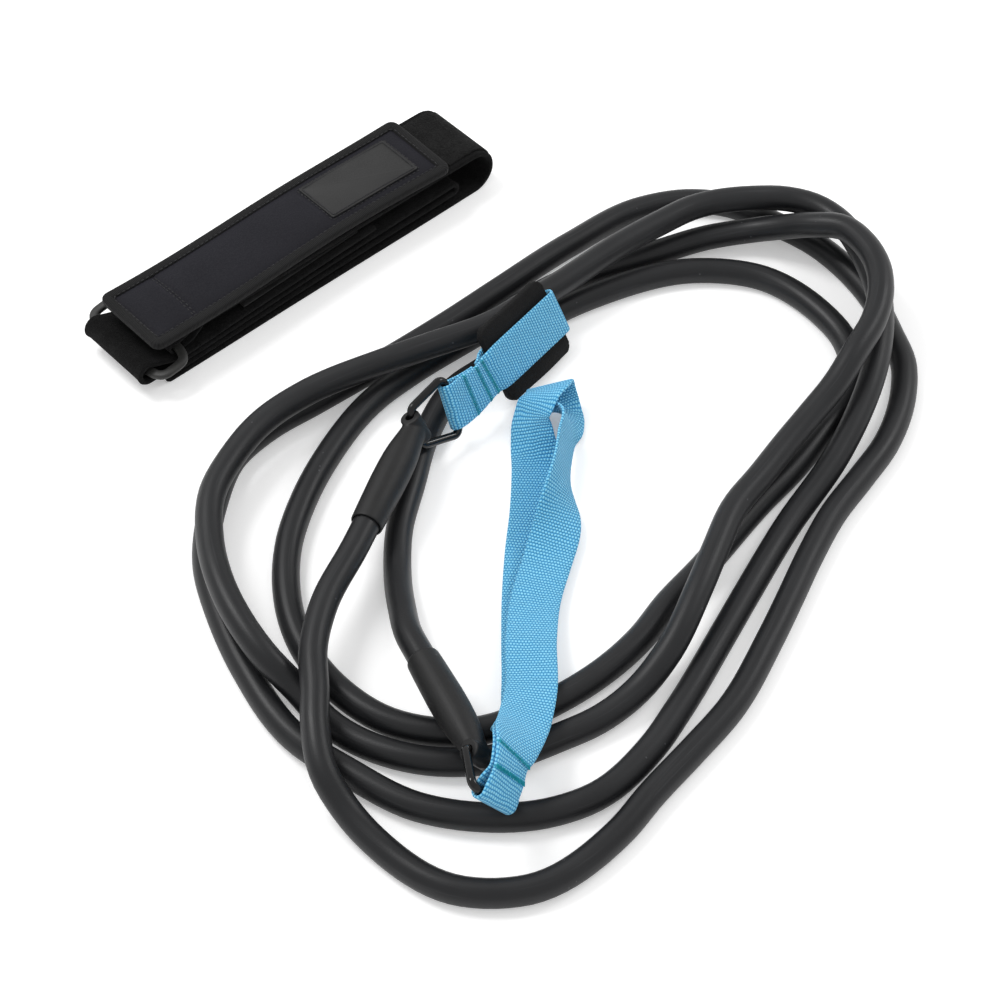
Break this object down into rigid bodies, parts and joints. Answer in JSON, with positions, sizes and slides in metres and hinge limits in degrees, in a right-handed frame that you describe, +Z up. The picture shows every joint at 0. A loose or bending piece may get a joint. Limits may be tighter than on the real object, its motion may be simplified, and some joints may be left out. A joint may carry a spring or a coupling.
{
  "type": "swim tether",
  "caption": "Elastic rubber tube in loose turns with moulded end sleeves, wire rings and webbing loops, beside a folded padded waist belt.",
  "frame": {"origin": "middle of the footprint, on the floor", "axes": "+Z up; +Y away from the viewer; +X to the viewer's right"},
  "size_m": [0.4422, 0.5166, 0.0481],
  "materials": {
    "rubber": "satin, smooth",
    "boot": "matt, moulded",
    "wire": "gloss black coat",
    "webbing": "woven, matt",
    "thread": "stitching",
    "belt_thread": "stitching",
    "foam": "closed-cell foam, matt",
    "panel": "smooth knit",
    "binding": "grosgrain",
    "strap": "brushed loop pile",
    "patch": "matt, bare",
    "hook": "hook tape",
    "loop_pile": "loop tape",
    "plastic": "moulded, matt"
  },
  "bodies": {
    "tether": {"rubber_tube": "rubber", "end_sleeve_a": "boot", "end_sleeve_b": "boot", "end_plug_a": "plastic", "end_plug_b": "plastic"},
    "ring_a": {"wire_ring_a": "wire"},
    "loop_a": {"webbing_loop_a": "webbing", "loop_a_pad": "foam", "loop_a_bar_tack_1": "thread", "loop_a_bar_tack_2": "thread", "loop_a_bar_tack_3": "thread"},
    "ring_b": {"wire_ring_b": "wire"},
    "loop_b": {"webbing_loop_b": "webbing", "loop_b_bar_tack_1": "thread", "loop_b_bar_tack_2": "thread"},
    "belt": {"belt_strap": "strap", "belt_pad": "panel", "belt_binding": "binding", "belt_patch": "patch", "patch_stitching": "belt_thread", "belt_row_stitch": "belt_thread", "belt_slide": "plastic", "belt_tab": "binding", "hook_strip": "hook", "loop_strip": "loop_pile"}
  },
  "joints": [
    {"name": "ring_a_pin", "type": "hinge", "parent": "tether", "child": "ring_a", "pos_m": [-0.04193, 0.01045, 0.02558], "axis": [0.2689, -0.3965, -0.8778], "range_deg": [0, 1]},
    {"name": "loop_a_bar", "type": "hinge", "parent": "ring_a", "child": "loop_a", "pos_m": [-0.02409, 0.0278, 0.0232], "axis": [0.2689, -0.3965, -0.8778], "range_deg": [0, 2]},
    {"name": "ring_b_pin", "type": "hinge", "parent": "tether", "child": "ring_b", "pos_m": [-0.00893, -0.19355, 0.03008], "axis": [0.5883, 0.147, -0.7951], "range_deg": [0, 12]},
    {"name": "loop_b_bar", "type": "hinge", "parent": "ring_b", "child": "loop_b", "pos_m": [-0.00166, -0.21745, 0.03104], "axis": [0.5883, 0.147, -0.7951], "range_deg": [0, 60]},
    {"name": "belt_lift", "type": "slide", "parent": "tether", "child": "belt", "axis": [0, 0, 1], "range_m": [0, 0.15]}
  ]
}
